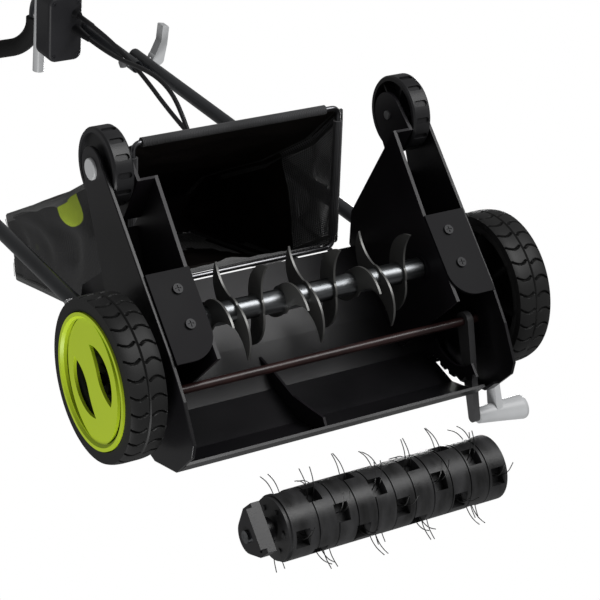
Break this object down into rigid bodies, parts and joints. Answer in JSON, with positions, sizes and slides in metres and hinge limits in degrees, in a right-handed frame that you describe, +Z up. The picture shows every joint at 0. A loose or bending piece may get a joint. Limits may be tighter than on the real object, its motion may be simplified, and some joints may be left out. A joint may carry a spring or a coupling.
{
  "type": "lawn dethatcher",
  "caption": "Electric push lawn dethatcher with a bladed rotor, height lever, folding handle, collection bag and a spare tine cylinder.",
  "frame": {"origin": "centre of the whole object's box, at the ground under the wheels", "axes": "+Y runs back to the handle grip, -Y is the nose, +X is the machine's left side, +Z is up"},
  "size_m": [0.536, 1.0643, 0.8968],
  "materials": {
    "deck_plastic": "moulded, fine grain",
    "steel": "zinc-plated",
    "bright_shaft": "bright ground",
    "blade_steel": "blackened, bright edges",
    "tine_wire": "spring wire",
    "brown_rod": "red-brown coated",
    "wheel_plastic": "moulded tread",
    "small_wheel": "moulded",
    "green_plastic": "satin",
    "white_plastic": "satin",
    "box_plastic": "moulded",
    "handle_paint": "powder coated",
    "foam": "closed-cell foam",
    "cable_rubber": "satin rubber",
    "bag_wire": "plain wire",
    "sleeve_fabric": "woven, worn",
    "bag_mesh": "open mesh weave"
  },
  "bodies": {
    "deck": {"deck_shell": "deck_plastic", "inner_walls": "deck_plastic", "side_cheeks": "deck_plastic", "pod_bottom_covers": "deck_plastic", "deck_screws": "steel", "centre_rib": "deck_plastic", "depth_quadrant": "deck_plastic", "motor_cover": "deck_plastic", "belt_housing": "deck_plastic", "motor_body": "steel", "drive_belt": "cable_rubber", "carry_handle": "deck_plastic", "left_bearing": "steel", "right_bearing_block": "deck_plastic", "rear_axle_pins": "steel", "rear_axle_caps": "white_plastic", "flap_hinge": "steel", "handle_brackets": "deck_plastic", "pivot_bolts": "steel", "cover_glands": "cable_rubber", "motor_cable": "cable_rubber", "switch_cable": "cable_rubber"},
    "front_axle": {"cross_rod": "brown_rod", "wheel_cranks": "steel", "depth_lever": "handle_paint", "lever_knob": "white_plastic"},
    "left_front": {"left_front_wheel": "wheel_plastic", "left_hub_cover": "green_plastic"},
    "right_front": {"right_front_wheel": "wheel_plastic", "right_hub_cover": "green_plastic"},
    "left_rear": {"left_rear_wheel": "small_wheel"},
    "right_rear": {"right_rear_wheel": "small_wheel"},
    "rotor": {"rotor_shaft": "bright_shaft", "rotor_blades": "blade_steel", "blade_spacers": "blade_steel", "rotor_pulley": "steel"},
    "motor_rotor": {"motor_shaft": "steel", "motor_pulley": "steel"},
    "flap": {"discharge_flap": "deck_plastic"},
    "bag": {"bag_frame": "bag_wire", "bag_sleeves": "sleeve_fabric", "bag_fabric": "bag_mesh"},
    "lower_handle": {"lower_handle_tubes": "handle_paint", "middle_bolts": "steel"},
    "upper_handle": {"upper_handle": "handle_paint", "foam_grip": "foam", "switch_box": "box_plastic", "switch_box_cover": "box_plastic", "switch_unit": "box_plastic", "box_brackets": "steel", "box_glands": "cable_rubber"},
    "left_cam": {"left_cam_lever": "white_plastic"},
    "right_cam": {"right_cam_lever": "white_plastic"},
    "bail": {"bail_lever": "white_plastic"},
    "button": {"safety_button": "box_plastic"},
    "spare_block": {"spare_bearing_block": "deck_plastic"},
    "spare_drum": {"tine_drum": "box_plastic", "drum_flange": "box_plastic", "drum_tines": "tine_wire", "drum_shaft": "bright_shaft"}
  },
  "joints": [
    {"name": "height_adjust", "type": "hinge", "parent": "deck", "child": "front_axle", "pos_m": [0, -0.3022, 0.075], "axis": [1, 0, 0], "range_deg": [-30, 12]},
    {"name": "left_front_spin", "type": "hinge", "parent": "front_axle", "child": "left_front", "pos_m": [0.245, -0.2672, 0.09], "axis": [1, 0, 0], "continuous": true},
    {"name": "right_front_spin", "type": "hinge", "parent": "front_axle", "child": "right_front", "pos_m": [-0.245, -0.2672, 0.09], "axis": [1, 0, 0], "continuous": true},
    {"name": "left_rear_spin", "type": "hinge", "parent": "deck", "child": "left_rear", "pos_m": [0.189, -0.0532, 0.044], "axis": [1, 0, 0], "continuous": true},
    {"name": "right_rear_spin", "type": "hinge", "parent": "deck", "child": "right_rear", "pos_m": [-0.189, -0.0532, 0.044], "axis": [1, 0, 0], "continuous": true},
    {"name": "rotor_spin", "type": "hinge", "parent": "deck", "child": "rotor", "pos_m": [0, -0.2332, 0.065], "axis": [1, 0, 0], "continuous": true},
    {"name": "motor_spin", "type": "hinge", "parent": "deck", "child": "motor_rotor", "pos_m": [0, -0.2472, 0.214], "axis": [1, 0, 0], "continuous": true},
    {"name": "flap_hinge", "type": "hinge", "parent": "deck", "child": "flap", "pos_m": [0, -0.1632, 0.203], "axis": [1, 0, 0], "range_deg": [0, 22]},
    {"name": "bag_lift", "type": "slide", "parent": "deck", "child": "bag", "axis": [0, 0.5, 0.866], "range_m": [0, 0.15]},
    {"name": "handle_fold", "type": "hinge", "parent": "deck", "child": "lower_handle", "pos_m": [0, -0.1632, 0.18415], "axis": [1, 0, 0], "range_deg": [0, 100], "deforming": ["motor_cable", "switch_cable"]},
    {"name": "upper_fold", "type": "hinge", "parent": "lower_handle", "child": "upper_handle", "pos_m": [0, 0.30899, 0.61156], "axis": [1, 0, 0], "range_deg": [0, 100], "deforming": ["motor_cable", "switch_cable"]},
    {"name": "left_cam", "type": "hinge", "parent": "lower_handle", "child": "left_cam", "pos_m": [0.227, 0.30899, 0.61156], "axis": [0, -0.7414, -0.6711], "range_deg": [0, 80]},
    {"name": "right_cam", "type": "hinge", "parent": "lower_handle", "child": "right_cam", "pos_m": [-0.227, 0.30899, 0.61156], "axis": [0, 0.7414, 0.6711], "range_deg": [0, 80]},
    {"name": "bail_squeeze", "type": "hinge", "parent": "upper_handle", "child": "bail", "pos_m": [-0.158, 0.47924, 0.70361], "axis": [1, 0, 0], "range_deg": [-10, 0], "stiffness_Nm_per_rad": 1, "springref_deg": 11.46},
    {"name": "button_press", "type": "slide", "parent": "upper_handle", "child": "button", "axis": [0, -0.7414, -0.6711], "range_m": [0, 0.004], "stiffness_N_per_m": 200},
    {"name": "spare_lift", "type": "slide", "parent": "deck", "child": "spare_block", "axis": [0, 0, 1], "range_m": [0, 0.2]},
    {"name": "drum_spin", "type": "hinge", "parent": "spare_block", "child": "spare_drum", "pos_m": [0, -0.4712, 0.064], "axis": [1, 0, 0], "continuous": true}
  ],
  "couplings": [
    {"joint": "motor_spin", "follows": "rotor_spin", "ratio": 2.1538}
  ]
}
